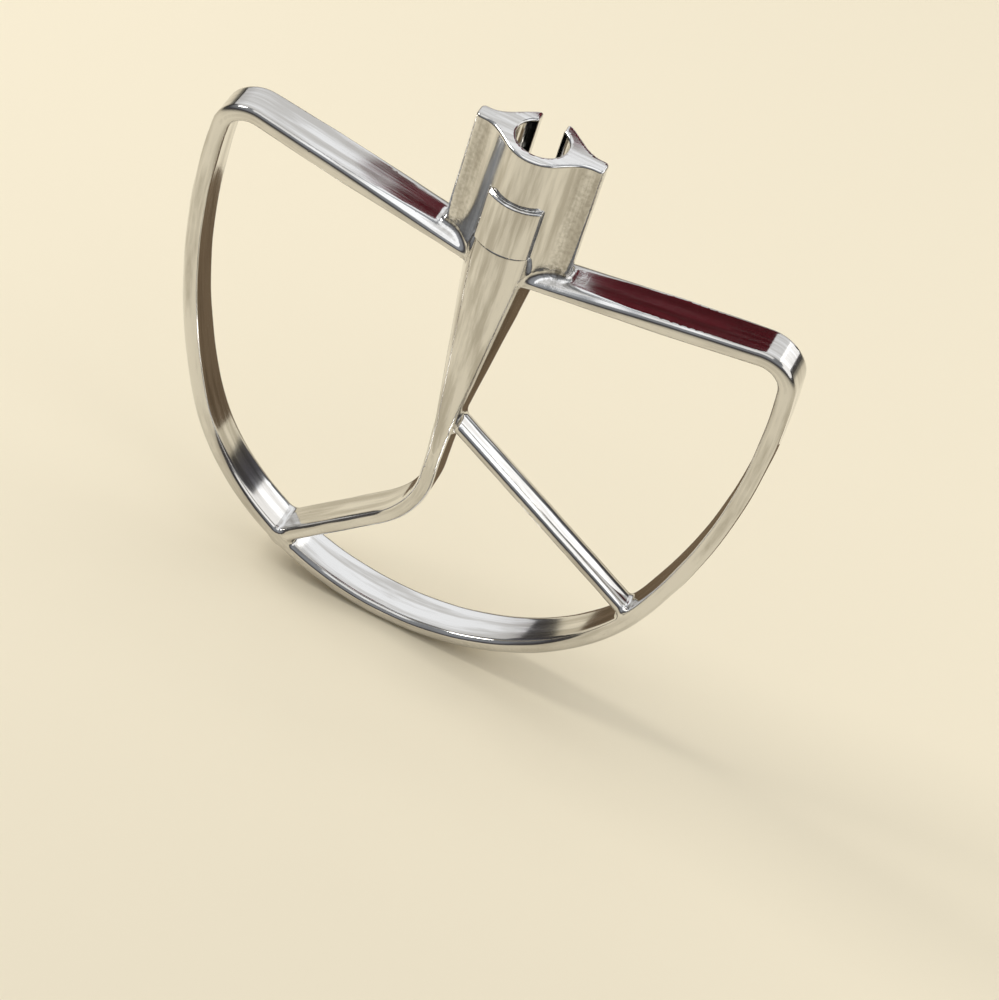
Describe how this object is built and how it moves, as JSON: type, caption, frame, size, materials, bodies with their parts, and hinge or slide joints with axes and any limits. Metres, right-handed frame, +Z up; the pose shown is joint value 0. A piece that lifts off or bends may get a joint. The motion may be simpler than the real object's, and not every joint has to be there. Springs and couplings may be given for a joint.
{
  "type": "stand mixer flat beater",
  "caption": "Polished cast steel flat beater with a socketed hub, a tapered spindle that bends into the frame, a slanted strut and a rounded open frame, for mixing dough and batter in a bowl.",
  "frame": {"origin": "centre of the shaft socket's mouth, on the hub's top face", "axes": "+Z up along the drive shaft, +X across the beater towards the slanted strut, +Y from the front with the raised pad to the back with the pin slot"},
  "size_m": [0.158, 0.0211, 0.1732],
  "materials": {
    "polished_steel": "polished"
  },
  "bodies": {
    "root": {"flat_beater": "polished_steel"}
  },
  "joints": []
}
